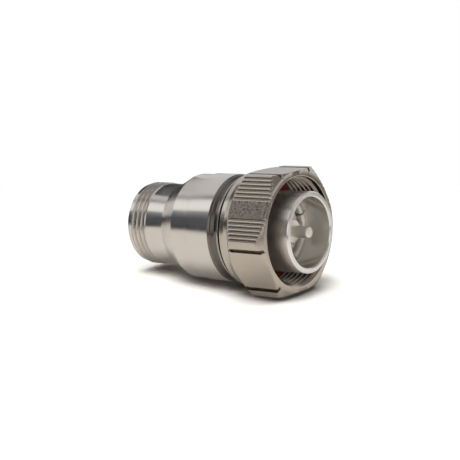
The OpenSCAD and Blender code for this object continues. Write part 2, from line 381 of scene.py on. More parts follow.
def add(tree, kind, feeds=(), stops=(), **settings):
    """Adds a node with its settings, its input values or links and, on a ramp, its (place, colour) stops.
    Returns its first output that is in use, or the node where it has none."""
    node = tree.nodes.new(kind)
    for key, value in settings.items():
        setattr(node, key, value)
    for socket, value in feeds.items() if isinstance(feeds, dict) else enumerate(feeds):
        if isinstance(value, bpy.types.NodeSocket):
            tree.links.new(value, node.inputs[socket])
        else:
            node.inputs[socket].default_value = value
    if stops:
        elements = node.color_ramp.elements
        while len(elements) < len(stops):
            elements.new(0.5)
        for element, (place, shade) in zip(elements, stops):
            element.position = place
            element.color = (*shade, 1)
    used = [output for output in node.outputs if output.enabled]
    return used[0] if used else node


def machining_tree(name, sizes):
    """A Geometry Nodes tree with a named input for each size; returns it and its input sockets."""
    tree = bpy.data.node_groups.new(name, "GeometryNodeTree")
    tree.interface.new_socket("Geometry", in_out="INPUT", socket_type="NodeSocketGeometry")
    tree.interface.new_socket("Geometry", in_out="OUTPUT", socket_type="NodeSocketGeometry")
    for size in sizes:
        tree.interface.new_socket(size, in_out="INPUT", socket_type="NodeSocketFloat")
    source = add(tree, "NodeGroupInput").node
    return tree, {socket.name: socket for socket in source.outputs}


def close_tree(tree, geometry, offset, material):
    """Moves the points by an offset and ends the tree."""
    moved = add(tree, "GeometryNodeSetPosition", {"Geometry": geometry, "Offset": offset})
    real = add(tree, "GeometryNodeRealizeInstances", {"Geometry": moved})
    dressed = add(tree, "GeometryNodeSetMaterial", {"Geometry": real, "Material": material})
    add(tree, "NodeGroupOutput", {"Geometry": dressed})


def machined(piece, tree, values):
    """Runs a tree on a piece with the given sizes and keeps the result as a plain mesh."""
    modifier = piece.modifiers.new(tree.name, "NODES")
    modifier.node_group = tree
    for item in tree.interface.items_tree:
        if item.item_type == "SOCKET" and item.in_out == "INPUT" and item.name in values:
            modifier[item.identifier] = float(values[item.name])
    bpy.context.view_layer.update()
    graph = bpy.context.evaluated_depsgraph_get()
    mesh = bpy.data.meshes.new_from_object(piece.evaluated_get(graph), depsgraph=graph)
    piece.modifiers.remove(modifier)
    piece.data = mesh


def thread_tree(material):
    """Cuts a helical 60 degree thread into the wall at one radius, outward or inward by Side."""
    tree, given = machining_tree("thread", ["Pitch", "Depth", "Start", "End", "Fade", "Wall", "Side"])
    position = add(tree, "GeometryNodeInputPosition")
    place = add(tree, "ShaderNodeSeparateXYZ", (position,)).node.outputs
    spoke = add(tree, "ShaderNodeCombineXYZ", {"Y": place["Y"], "Z": place["Z"]})
    radius = add(tree, VECTOR, (spoke,), operation="LENGTH")

    # How deep the thread is at this point of its helix: a flat crest, straight flanks and a root at the Depth
    past = add(tree, MATHS, (place["X"], given["Start"]), operation="SUBTRACT")
    laps = add(tree, MATHS, (past, given["Pitch"]), operation="DIVIDE")
    angle = add(tree, MATHS, (place["Z"], place["Y"]), operation="ARCTAN2")
    turn = add(tree, MATHS, (angle, 1 / (2 * math.pi)), operation="MULTIPLY")
    phase = add(tree, MATHS, (laps, turn), operation="SUBTRACT")
    phase = add(tree, MATHS, (phase,), operation="FRACT")
    ridge = add(tree, MATHS, (phase, 2.0, -1.0), operation="MULTIPLY_ADD")
    ridge = add(tree, MATHS, (ridge,), operation="ABSOLUTE")
    sharp = add(tree, MATHS, (given["Pitch"], math.cos(math.radians(30))), operation="MULTIPLY")
    below = add(tree, MATHS, (7 / 8, ridge), operation="SUBTRACT")
    cut = add(tree, MATHS, (sharp, below), operation="MULTIPLY")
    cut = add(tree, MATHS, (cut, 0.0), operation="MAXIMUM")
    cut = add(tree, MATHS, (cut, given["Depth"]), operation="MINIMUM")

    # The thread runs in and out over the Fade, and only the wall is cut
    run_in = add(tree, MATHS, (given["Start"], given["Fade"]), operation="ADD")
    run_out = add(tree, MATHS, (given["End"], given["Fade"]), operation="SUBTRACT")
    entry = add(tree, RANGE, (place["X"], given["Start"], run_in, 0.0, 1.0), interpolation_type="SMOOTHSTEP")
    leave = add(tree, RANGE, (place["X"], run_out, given["End"], 1.0, 0.0), interpolation_type="SMOOTHSTEP")
    on_wall = add(tree, MATHS, (radius, given["Wall"], WALL_REACH), operation="COMPARE")
    push = add(tree, MATHS, (cut, given["Side"]), operation="MULTIPLY")
    for part in (entry, leave, on_wall):
        push = add(tree, MATHS, (push, part), operation="MULTIPLY")
    outward = add(tree, VECTOR, (spoke,), operation="NORMALIZE")
    offset = add(tree, VECTOR, {0: outward, "Scale": push}, operation="SCALE")
    close_tree(tree, given["Geometry"], offset, material)
    return tree


def grip_tree(material):
    """Cuts the grip grooves and the corner slots into the nut's facets, and notes the depth of the cut."""
    tree, given = machining_tree("grip", ["First", "Spacing", "Count", "Groove width", "Groove depth",
                                          "Slot offset", "Slot width", "Slot depth", "Nose depth", "Front"])
    note = {}
    for name in ("across", "grip", "lowered", "skin", "facing"):
        kind = "FLOAT_VECTOR" if name == "facing" else "FLOAT"
        note[name] = add(tree, "GeometryNodeInputNamedAttribute", {"Name": name}, data_type=kind)
    across = add(tree, MATHS, (note["across"],), operation="ABSOLUTE")

    # The middle of the nearest groove
    last = add(tree, MATHS, (given["Count"], 1.0), operation="SUBTRACT")
    index = across
    for operation, value in (("SUBTRACT", given["First"]), ("DIVIDE", given["Spacing"]), ("ROUND", 0.0),
                             ("MAXIMUM", 0.0), ("MINIMUM", last)):
        index = add(tree, MATHS, (index, value), operation=operation)
    nearest = add(tree, MATHS, (index, given["Spacing"], given["First"]), operation="MULTIPLY_ADD")

    # Both cuts' sides slope from a lip outside the half width to a foot inside it
    cuts = {}
    for name, middle, lip, foot in (("Groove", nearest, 0.06 * MM, 0.14 * MM),
                                    ("Slot", given["Slot offset"], 0.03 * MM, 0.05 * MM)):
        aside = add(tree, MATHS, (across, middle), operation="SUBTRACT")
        aside = add(tree, MATHS, (aside,), operation="ABSOLUTE")
        half = add(tree, MATHS, (given[name + " width"], 0.5), operation="MULTIPLY")
        start = add(tree, MATHS, (half, lip), operation="ADD")
        end = add(tree, MATHS, (half, foot), operation="SUBTRACT")
        cuts[name] = add(tree, RANGE, (aside, start, end, 0.0, given[name + " depth"]),
                         interpolation_type="SMOOTHSTEP")

    # The ridges are rounded off from 0.62 to 0.28 mm behind the front face
    position = add(tree, "GeometryNodeInputPosition")
    station = add(tree, "ShaderNodeSeparateXYZ", (position,))
    nose_start = add(tree, MATHS, (given["Front"], 0.62 * MM), operation="SUBTRACT")
    nose_end = add(tree, MATHS, (given["Front"], 0.28 * MM), operation="SUBTRACT")
    nose = add(tree, RANGE, (station, nose_start, nose_end, 0.0, given["Nose depth"]),
               interpolation_type="SMOOTHSTEP")
    gripped = add(tree, MATHS, (cuts["Groove"], nose), operation="MAXIMUM")

    # Grip facets get the grooves and the others the slots, less what the turned corners already took off
    gripped = add(tree, MATHS, (note["grip"], gripped), operation="MULTIPLY")
    plain = add(tree, MATHS, (1.0, note["grip"]), operation="SUBTRACT")
    cut = add(tree, MATHS, (plain, cuts["Slot"], gripped), operation="MULTIPLY_ADD")
    cut = add(tree, MATHS, (cut, note["lowered"]), operation="SUBTRACT")
    cut = add(tree, MATHS, (cut, 0.0), operation="MAXIMUM")
    cut = add(tree, MATHS, (cut, note["skin"]), operation="MULTIPLY")
    kept = add(tree, "GeometryNodeStoreNamedAttribute",
               {"Geometry": given["Geometry"], "Name": "cut", "Value": cut})
    inward = add(tree, MATHS, (cut, -1.0), operation="MULTIPLY")
    offset = add(tree, VECTOR, {0: note["facing"], "Scale": inward}, operation="SCALE")
    close_tree(tree, kept, offset, material)
    return tree


# Finishes

def new_material(name):
    """An empty node material with its tree."""
    material = bpy.data.materials.new(name)
    material.use_nodes = True
    material.node_tree.nodes.clear()
    return material, material.node_tree


def close_material(tree, shader):
    add(tree, "ShaderNodeOutputMaterial", {"Surface": shader})


def toned(base, tone):
    """A colour made darker or lighter, with its alpha."""
    return (*[min(1, part * tone) for part in base], 1)


def greys(stops):
    """A ramp's stops in plain grey, from (place, level) pairs."""
    return [(place, (level,) * 3) for place, level in stops]


def on_axis(tree):
    """Object coordinates turned so that X runs along the adapter's axis, the station on it, the lathe's feed
    along a profile, and the direction across the tool marks."""
    place = add(tree, "ShaderNodeTexCoord").node.outputs["Object"]
    level = add(tree, "ShaderNodeMapping", {"Vector": place, "Rotation": (0, LEAN, 0)})
    parts = add(tree, "ShaderNodeSeparateXYZ", (level,)).node.outputs
    spoke = add(tree, "ShaderNodeCombineXYZ", {"Y": parts["Y"], "Z": parts["Z"]})
    radius = add(tree, VECTOR, (spoke,), operation="LENGTH")
    feed = add(tree, MATHS, (parts["X"], radius), operation="ADD")
    round_axis = add(tree, VECTOR, (tuple(AXIS), place), operation="CROSS_PRODUCT")
    facing = add(tree, "ShaderNodeNewGeometry").node.outputs["Normal"]
    across = add(tree, VECTOR, (facing, round_axis), operation="CROSS_PRODUCT")
    return level, parts["X"], feed, across


def turned_plate(name, plate, rough, feed_mm, mark_mm, shaded_stretch=None):
    """Plate over turned brass: bright, its highlights drawn out across the lathe's fine rings, with a faint
    handling haze. The rings are drawn a few times coarser than a real feed of 0.05 mm, so that they show.
    A stretch may get painted shade, for the hollow beside the seam: its start, its end and its (place,
    darkness) stops."""
    material, tree = new_material(name)
    level, station, feed, across = on_axis(tree)
    rings = add(tree, NOISE, {"W": feed, "Scale": 1 / (feed_mm * MM), "Detail": 2.0, "Roughness": 0.6},
                noise_dimensions="1D")
    haze = add(tree, NOISE, {"Vector": level, "Scale": 1 / (3.85 * MM), "Detail": 2.0, "Roughness": 0.5})
    pits = add(tree, NOISE, {"Vector": level, "Scale": 1 / (0.385 * MM), "Detail": 2.0})
    sheen = add(tree, RANGE, (haze, 0.3, 0.7, rough * 0.92, rough * 1.12))
    tint = add(tree, BLEND, {"Factor": haze, "A": toned(plate, 0.95), "B": toned(plate, 1.04)},
               data_type="RGBA")
    # Painted shade beside the seam: the plate turns toward a dark brown by the stretch's stops
    if shaded_stretch:
        start, end, stops = shaded_stretch
        stretch = add(tree, RANGE, (station, start, end, 0.0, 1.0))
        seam_shade = add(tree, "ShaderNodeValToRGB", (stretch,), greys(stops))
        tint = add(tree, BLEND, {"Factor": seam_shade, "A": tint, "B": SEAM_SHADE_COLOUR}, data_type="RGBA")
    height = add(tree, MATHS, (pits, 0.1, rings), operation="MULTIPLY_ADD")
    bump = add(tree, "ShaderNodeBump", {"Height": height, "Strength": 1.0, "Distance": mark_mm * MM})
    close_material(tree, add(tree, "ShaderNodeBsdfPrincipled", {
        "Base Color": tint, "Metallic": 1.0, "Roughness": sheen, "Normal": bump,
        "Anisotropic": DRAWN_OUT, "Tangent": across}))
    return material


def milled_nickel(plate, rough, deepest):
    """Nickel plate over a milled and turned nut: warm grey, hazy, grainy and specked on the plain strips
    between the grip grooves, with painted shade in the grooves, the slots and the bore. Its fine marks are
    drawn coarse enough to show."""
    material, tree = new_material("milled_nickel_plate")
    place, _, feed, _ = on_axis(tree)
    rings = add(tree, NOISE, {"W": feed, "Scale": 1 / (0.16 * MM), "Detail": 2.0}, noise_dimensions="1D")
    grain = add(tree, NOISE, {"Vector": place, "Scale": 1 / (0.3125 * MM), "Detail": 3.0, "Roughness": 0.7})
    haze = add(tree, NOISE, {"Vector": place, "Scale": 1 / (2.38 * MM), "Detail": 5.0, "Roughness": 0.6})
    strip, inside, depth = (add(tree, "ShaderNodeAttribute", attribute_name=name).node.outputs["Fac"]
                            for name in ("strip", "inside", "cut"))
    coarse = add(tree, MATHS, (strip, 2.6, 0.22), operation="MULTIPLY_ADD")
    grit = add(tree, MATHS, (grain, coarse), operation="MULTIPLY")
    height = add(tree, MATHS, (rings, 0.5, grit), operation="MULTIPLY_ADD")
    sheen = add(tree, RANGE, (haze, 0.3, 0.7, rough * 0.8, rough * 1.4))
    rougher = add(tree, MATHS, (strip, 0.2, sheen), operation="MULTIPLY_ADD")
    tint = add(tree, BLEND, {"Factor": haze, "A": toned(plate, 0.88), "B": toned(plate, 1.06)},
               data_type="RGBA")
    # Random dark specks on the plain strips, and painted shade by a cut's depth in the grooves and slots and
    # over the bore
    speck = add(tree, RANGE, (grain, 0.42, 0.62, 0.45, 0.9))
    speck = add(tree, MATHS, (strip, speck), operation="MULTIPLY")
    depth = add(tree, RANGE, (depth, 0.0, deepest, 0.0, 1.0))
    grooves = add(tree, "ShaderNodeValToRGB", (depth,), greys(GROOVE_SHADE))
    specks_and_shade = add(tree, MATHS, (inside, BORE_SHADE), operation="MULTIPLY")
    for patch in (speck, grooves):
        specks_and_shade = add(tree, MATHS, (specks_and_shade, patch), operation="MAXIMUM")
    tint = add(tree, BLEND, {"Factor": specks_and_shade, "A": tint, "B": SPECK_AND_SHADE}, data_type="RGBA")
    bump = add(tree, "ShaderNodeBump", {"Height": height, "Strength": 1.0, "Distance": 0.006 * MM})
    close_material(tree, add(tree, "ShaderNodeBsdfPrincipled", {
        "Base Color": tint, "Metallic": 1.0, "Roughness": rougher, "Normal": bump}))
    return material


def silicone(base):
    """Moulded silicone rubber: matt dark red with a fine grain and a little bloom."""
    material, tree = new_material("moulded_silicone")
    place = on_axis(tree)[0]
    grain = add(tree, NOISE, {"Vector": place, "Scale": 1 / (0.556 * MM), "Detail": 3.0})
    bloom = add(tree, NOISE, {"Vector": place, "Scale": 1 / (2 * MM), "Detail": 3.0})
    tint = add(tree, BLEND, {"Factor": bloom, "A": toned(base, 0.75), "B": toned(base, 1.25)},
               data_type="RGBA")
    bump = add(tree, "ShaderNodeBump", {"Height": grain, "Strength": 1.0, "Distance": 0.012 * MM})
    close_material(tree, add(tree, "ShaderNodeBsdfPrincipled", {
        "Base Color": tint, "Roughness": 0.55, "IOR": 1.42, "Normal": bump}))
    return material


def fluoropolymer(base):
    """Turned fluoropolymer: waxy white, faintly see-through, with soft tool rings drawn coarse."""
    material, tree = new_material("turned_fluoropolymer")
    place, _, feed, _ = on_axis(tree)
    rings = add(tree, NOISE, {"W": feed, "Scale": 1 / (0.2 * MM), "Detail": 1.0}, noise_dimensions="1D")
    haze = add(tree, NOISE, {"Vector": place, "Scale": 1 / (2.5 * MM)})
    sheen = add(tree, RANGE, (haze, 0.0, 1.0, 0.32, 0.48))
    bump = add(tree, "ShaderNodeBump", {"Height": rings, "Strength": 1.0, "Distance": 0.01 * MM})
    close_material(tree, add(tree, "ShaderNodeBsdfPrincipled", {
        "Base Color": (*base, 1), "Roughness": sheen, "IOR": 1.35, "Normal": bump,
        "Subsurface Weight": 0.25, "Subsurface Radius": (0.6 * MM, 0.6 * MM, 0.6 * MM)}))
    return material


# Pieces

class ADAPTER_OT_rear_body(bpy.types.Operator):
    """Builds the turned rear body with its helical coupling thread"""
    bl_idname = "adapter.rear_body"
    bl_label = "Rear body"

    def execute(self, context):
        size = context.scene.adapter_body
        thread_r = mount_radius("rear_thread")
        lead_break, neck_fillet, barrel_fillet = 0.4 * MM, 0.6 * MM, 0.25 * MM
        seam_break, seam_drop = 0.35 * MM, 0.3 * MM
        band_step = size.band_r - size.barrel_r
        bead_rear = size.mouth_depth + size.lip_l
        outline = rounded([
            (0, size.mouth_r + EDGE, CRISP), (0, size.lead_r - lead_break, SOFT),
            (lead_break, size.lead_r, SOFT), (size.lead_end, size.lead_r, CRISP),
            (THREAD_START, thread_r, CRISP), (THREAD_END, thread_r, CRISP),
            (THREAD_END + EDGE, size.neck_r, CRISP), (size.neck_end, size.neck_r, neck_fillet),
            (size.barrel_start, size.barrel_r, barrel_fillet), (size.band_start, size.barrel_r, CRISP),
            (size.band_start + band_step, size.band_r, CRISP), (SEAM - seam_break, size.band_r, SOFT),
            (SEAM, size.band_r - seam_drop, CRISP), (SEAM, size.shank_r, 0),
            (bead_rear, size.shank_r, 0), (bead_rear, size.line_r, CRISP),
            (size.mouth_depth, size.line_r, CRISP), (size.mouth_depth, size.mouth_r, 0),
            (EDGE, size.mouth_r, CRISP)])
        outline = divided(outline, THREAD_START, THREAD_END, thread_r, THREAD_STEP)
        piece = turned("rear_body_turned", outline)
        # The band's end at the seam gets painted shade
        plate = turned_plate("white_bronze_turned", size.plate, size.rough, feed_mm=0.22, mark_mm=0.0018,
                             shaded_stretch=(SEAM - 0.6 * MM, SEAM, BAND_SHADE))
        machined(piece, thread_tree(plate), {
            "Pitch": size.pitch, "Depth": size.depth, "Start": THREAD_START - 0.25 * MM,
            "End": THREAD_END + 0.1 * MM, "Fade": 0.25 * MM, "Wall": thread_r, "Side": -1})
        laid_down(piece, plate, "rear_body", "adapter")
        return {"FINISHED"}


class ADAPTER_OT_front_body(bpy.types.Operator):
    """Builds the bright turned front body with the collar, the bead and the guide sleeve"""
    bl_idname = "adapter.front_body"
    bl_label = "Front body"

    def execute(self, context):
        body, size = context.scene.adapter_body, context.scene.adapter_plug
        neck_r = body.barrel_r - size.collar_neck
        neck_start = SEAM + 0.65 * MM
        bead_r = body.barrel_r + size.bead_rise
        bead_fillet, bead_step = 0.15 * MM, 0.05 * MM
        shank_r = body.shank_r - PRESS_GAP
        shank_rear = body.mouth_depth + body.lip_l + body.bead_t
        undercut_r = SLEEVE_R - size.undercut
        gasket_front = mount_station("guide_sleeve")[0]
        pocket_r = size.contact_r + PRESS_GAP
        outline = rounded([
            (shank_rear, body.line_r, 0), (shank_rear, shank_r, CRISP),
            (SEAM, shank_r, 0), (SEAM, body.barrel_r, CRISP),
            (SEAM + EDGE, body.barrel_r, CRISP), (neck_start, neck_r, EDGE),
            (size.bead_start - EDGE, neck_r, EDGE), (size.bead_start + EDGE, bead_r, bead_fillet),
            (size.bead_end - bead_step, bead_r, bead_fillet), (size.bead_end, size.bearing_r, EDGE),
            (size.gasket_seat, size.bearing_r, CRISP), (size.gasket_seat, undercut_r, 0),
            (gasket_front, undercut_r, 0), (gasket_front, SLEEVE_R, CRISP),
            (SLEEVE_FRONT - EDGE, SLEEVE_R, CRISP), (SLEEVE_FRONT, SLEEVE_R - EDGE, CRISP),
            (SLEEVE_FRONT, size.bore_r + EDGE, CRISP), (SLEEVE_FRONT - EDGE, size.bore_r, CRISP),
            (size.floor, size.bore_r, 0), (size.floor, pocket_r, 0),
            (size.bead_seat, pocket_r, 0), (size.bead_seat, body.line_r, 0)], 5)
        piece = turned("front_body_turned", outline)
        # The collar and the bead behind the nut get painted shade, lighter on the bead
        plate = turned_plate("white_bronze_bright", size.plate, size.rough, feed_mm=0.12, mark_mm=0.0004,
                             shaded_stretch=(SEAM, NUT_REAR + 0.6 * MM, COLLAR_SHADE))
        laid_down(piece, plate, "front_body", "adapter")
        return {"FINISHED"}


def both_ways(distances):
    """The distances in metres on both sides of a middle, and the middle itself."""
    return np.concatenate([-distances[::-1], [0], distances])


def facet_columns(size):
    """The nut's columns: the facet of each, its distance across it, and whether that is a grip facet. They
    are close together where a groove's or a slot's sides will stand and where the corners are turned down."""
    edge = size.flat_r * math.tan(math.radians(30))
    groove = both_ways(np.array([0.1, 0.17, 0.22, 0.27, 0.32]) * MM)
    slot = both_ways(np.array([0.2, 0.33, 0.37, 0.4, 0.43, 0.5]) * MM)
    beside_grooves = np.array([0.5, 1.1, 1.5]) * MM
    beside_slots = np.array([0.8, 1.6, 2.4, 3.2]) * MM
    corner = np.array([5.7, 5.95, 6.05, 6.15, 6.25]) * MM
    columns = []
    for facet in range(6):
        grip = facet % 2 == 0
        if grip:
            middles = size.grip_first + size.grip_pitch * np.arange(size.grip_count)
            half = np.concatenate([(middles[:, None] + groove).ravel(), beside_grooves])
            half = half[half < edge - 0.01 * MM]
        else:
            half = np.concatenate([size.slot_at + slot, beside_slots, corner])
        half = np.unique(np.round(np.concatenate([half, corner[corner > half.max()]]), 8))
        for distance in np.concatenate([[-edge], -half[::-1], [0], half]):
            columns.append((facet, distance, grip))
    return columns


def stitched(first, first_angles, second, second_angles):
    """Triangles between two rings of different counts, both in order of angle."""
    faces, i, j = [], 0, 0
    count, other = len(first), len(second)
    while i < count or j < other:
        next_i = first_angles[i % count] + 2 * math.pi * (i >= count) if i < count else math.inf
        next_j = second_angles[j % other] + 2 * math.pi * (j >= other) if j < other else math.inf
        if next_i <= next_j:
            faces.append((first[i % count], first[(i + 1) % count], second[j % other]))
            i += 1
        else:
            faces.append((second[j % other], first[i % count], second[(j + 1) % other]))
            j += 1
    return faces


def outer_rows(size):
    """Rows of the nut's outside from the rear: the station, the turned radius, and whether facets are cut.
    They are fine where the corners are turned down and coarse between."""
    fine, coarse = 0.06 * MM, 0.6 * MM
    collar_l, cone_fillet = 0.9 * MM, 0.3 * MM
    cone_end = size.hex_start - size.chamfer / 2
    rear_slope = (size.corner_r - size.flat_r) / (1.5 * size.chamfer)
    front_slope = (size.corner_r - size.rim_r) / size.chamfer
    stations = np.concatenate([
        np.arange(cone_end, size.hex_start + 1.3 * MM, fine),
        np.arange(size.hex_start + 1.5 * MM, NUT_FRONT - 1.5 * MM, coarse),
        np.arange(NUT_FRONT - 1.3 * MM, NUT_FRONT - fine / 2, fine)])
    rear = size.flat_r - 0.05 * MM + (stations - cone_end) * rear_slope
    front = size.rim_r + (NUT_FRONT - stations) * front_slope
    limits = np.minimum(np.minimum(rear, front), size.corner_r)
    cone = rounded([(NUT_REAR, size.thread_r, 0), (NUT_REAR, size.collar_r, SOFT),
                    (NUT_REAR + collar_l, size.collar_r, cone_fillet),
                    (cone_end - fine, size.flat_r - 0.07 * MM, 0)])
    rows = [(station, radius, False) for station, radius in cone]
    rows += [(station, limit, True) for station, limit in zip(stations, limits)]
    rows += [(NUT_FRONT, size.rim_r - 0.04 * MM, True), (NUT_FRONT, size.thread_r + EDGE, False)]
    return rows


def inner_rows(size, bore_r):
    """Rows of the nut's inside from the front: the station and the radius."""
    rows_to_a_turn = 14
    minor_r = mount_radius("nut_thread")
    mouth_r = size.thread_r + 0.1 * MM
    relief_r = size.thread_r - 0.1 * MM
    bore_break = 0.1 * MM
    top = NUT_FRONT - (mouth_r - minor_r)
    foot = size.relief_end + 0.5 * MM
    steps = int((top - foot) / (size.pitch / rows_to_a_turn))
    rows = [(NUT_FRONT, mouth_r + 0.02 * MM), (NUT_FRONT - 0.03 * MM, mouth_r - 0.03 * MM)]
    rows += [(top + (foot - top) * i / steps, minor_r) for i in range(steps + 1)]
    rows += [(size.relief_end, relief_r), (size.wall_front, relief_r), (size.wall_front, bore_r),
             (NUT_REAR + bore_break, bore_r), (NUT_REAR, bore_r + bore_break)]
    return rows


def nut_blank(size, bore_r):
    """The nut before its thread, grooves and slots are cut, with notes on its points for the cutting."""
    facets, across, grips = (np.array(values, float) for values in zip(*facet_columns(size)))
    count = len(across)
    leans = np.radians(180 + 60 * facets)
    facing = np.column_stack([np.zeros(count), -np.sin(leans), np.cos(leans)])
    beside = np.column_stack([np.zeros(count), -np.cos(leans), -np.sin(leans)])
    flat = facing * size.flat_r + beside * across[:, None]
    reach = np.linalg.norm(flat, axis=1)
    spoke = flat / reach[:, None]

    # The outside: each row is the hexagon, turned down where the blank is smaller
    rows = outer_rows(size)
    rings, lowered, skin = [], [], []
    for station, limit, hexed in rows:
        radius = np.minimum(reach, limit) if hexed else np.full(count, limit)
        ring = spoke * radius[:, None]
        ring[:, 0] = station
        rings.append(ring)
        lowered.append(size.flat_r - np.einsum("ij,ij->i", ring * (0, 1, 1), facing))
        skin.append(np.full(count, float(hexed)))
    outside = np.vstack(rings)
    base = len(outside)

    # The inside, stitched to the outside at both ends
    bore = inner_rows(size, bore_r)
    inside = np.vstack([ring_of(station, radius, BORE_COLUMNS) for station, radius in bore])
    faces = skin_faces(len(rows), count, False)
    faces += [[base + index for index in face] for face in skin_faces(len(bore), BORE_COLUMNS, False)]
    turns = np.mod(np.arctan2(-spoke[:, 1], spoke[:, 2]), 2 * math.pi)
    order = np.argsort(turns)
    bore_turns = np.arange(BORE_COLUMNS) * 2 * math.pi / BORE_COLUMNS
    for outer, inner in ((base - count, base), (0, base + len(inside) - BORE_COLUMNS)):
        faces += stitched((outer + order).tolist(), turns[order], list(range(inner, inner + BORE_COLUMNS)),
                          bore_turns)
    mesh = mesh_of("coupling_nut_machined", np.vstack([outside, inside]), faces)

    # Notes for the cutting and the finish; all of the inside but its two front rows gets painted shade
    across, grips = np.tile(across, len(rows)), np.tile(grips, len(rows))
    lowered, skin = np.concatenate(lowered), np.concatenate(skin)
    noted(mesh, "across", across)
    noted(mesh, "grip", grips)
    noted(mesh, "lowered", lowered)
    noted(mesh, "skin", skin)
    noted(mesh, "strip", (np.abs(across) < size.grip_first - 0.4 * MM) * grips * skin)
    noted(mesh, "inside", np.arange(len(mesh.vertices)) >= base + 2 * BORE_COLUMNS)
    noted(mesh, "facing", np.tile(facing, (len(rows), 1)))
    return closed_piece(mesh, merge=False)


class ADAPTER_OT_nut(bpy.types.Operator):
    """Builds the coupling nut with its thread, grip grooves and corner slots"""
    bl_idname = "adapter.coupling_nut"
    bl_label = "Coupling nut"

    def execute(self, context):
        size = context.scene.adapter_nut
        plate = milled_nickel(size.plate, size.rough, size.slot_depth)
        piece = nut_blank(size, context.scene.adapter_plug.bearing_r + size.running_gap)
        minor_r = mount_radius("nut_thread")
        machined(piece, grip_tree(plate), {
            "First": size.grip_first, "Spacing": size.grip_pitch, "Count": size.grip_count,
            "Groove width": size.groove_w, "Groove depth": size.groove_depth, "Slot offset": size.slot_at,
            "Slot width": size.slot_w, "Slot depth": size.slot_depth, "Nose depth": size.nose_depth,
            "Front": NUT_FRONT})
        machined(piece, thread_tree(plate), {
            "Pitch": size.pitch, "Depth": size.thread_r - minor_r, "Start": size.relief_end + 0.4 * MM,
            "End": NUT_FRONT - 0.4 * MM, "Fade": 0.15 * MM, "Wall": minor_r, "Side": 1})
        laid_down(piece, plate, "coupling_nut", "nut")
        return {"FINISHED"}


class ADAPTER_OT_plug_inside(bpy.types.Operator):
    """Builds the gasket and the centre pin, and finishes the contact"""
    bl_idname = "adapter.plug_inside"
    bl_label = "Inside the plug"

    def execute(self, context):
        body, size = context.scene.adapter_body, context.scene.adapter_plug
        rear, front = along("interface_gasket")
        outer_r = girth("interface_gasket")
        inner_r = SLEEVE_R - size.undercut + PRESS_GAP
        gasket = turned("interface_gasket_moulded", rounded([
            (rear, inner_r, 0.1 * MM), (rear, outer_r, 0.15 * MM), (front, outer_r, 0.4 * MM),
            (front, inner_r, 0.3 * MM)], 6))
        laid_down(gasket, silicone(size.rubber), "interface_gasket", "adapter")
        silver = turned_plate("silver_plate", size.pin, 0.32, feed_mm=0.15, mark_mm=0.0006)
        pin_rear, tip = along("centre_pin")
        shoulder = mount_station("centre_pin")[0]
        pin_r, line_r = mount_radius("centre_pin"), girth("centre_pin")
        bead_front = size.bead_seat + body.bead_t
        hole_end = pin_rear + size.stud_l
        outline = rounded([
            (pin_rear, size.stud_r, 0), (pin_rear, size.core_r, 0.1 * MM), (bead_front, size.core_r, 0),
            (bead_front, line_r, 0.05 * MM), (shoulder, line_r, EDGE), (shoulder, pin_r, 0),
            (tip, pin_r, 0.6 * MM), (tip, ON_AXIS, 0), (hole_end, ON_AXIS, 0), (hole_end, size.stud_r, 0)], 8)
        pin = turned("centre_pin_turned", outline, PIN_COLUMNS)
        laid_down(pin, silver, "centre_pin", "adapter")
        spring = turned_plate("silver_plate_spring", size.pin, 0.42, feed_mm=0.15, mark_mm=0.0006)
        dressed("outer_contact", spring)
        return {"FINISHED"}


def dressed(node, material):
    """Gives a CAD node its finish."""
    part = frame["nodes"][node]
    part.data.materials.clear()
    part.data.materials.append(material)


class ADAPTER_OT_hidden_parts(bpy.types.Operator):
    """Finishes the socket, the insulators and the retaining ring"""
    bl_idname = "adapter.hidden_parts"
    bl_label = "Hidden parts"

    def execute(self, context):
        size = context.scene.adapter_plug
        dressed("centre_socket", turned_plate("gold_plate", size.gold, 0.18, feed_mm=0.12, mark_mm=0.0015))
        plastic = fluoropolymer(size.plastic)
        for node in ("front_insulator", "rear_insulator"):
            dressed(node, plastic)
        dressed("retaining_ring", turned_plate("spring_steel", size.steel, 0.3, feed_mm=0.1, mark_mm=0.002))
        return {"FINISHED"}


# Stage

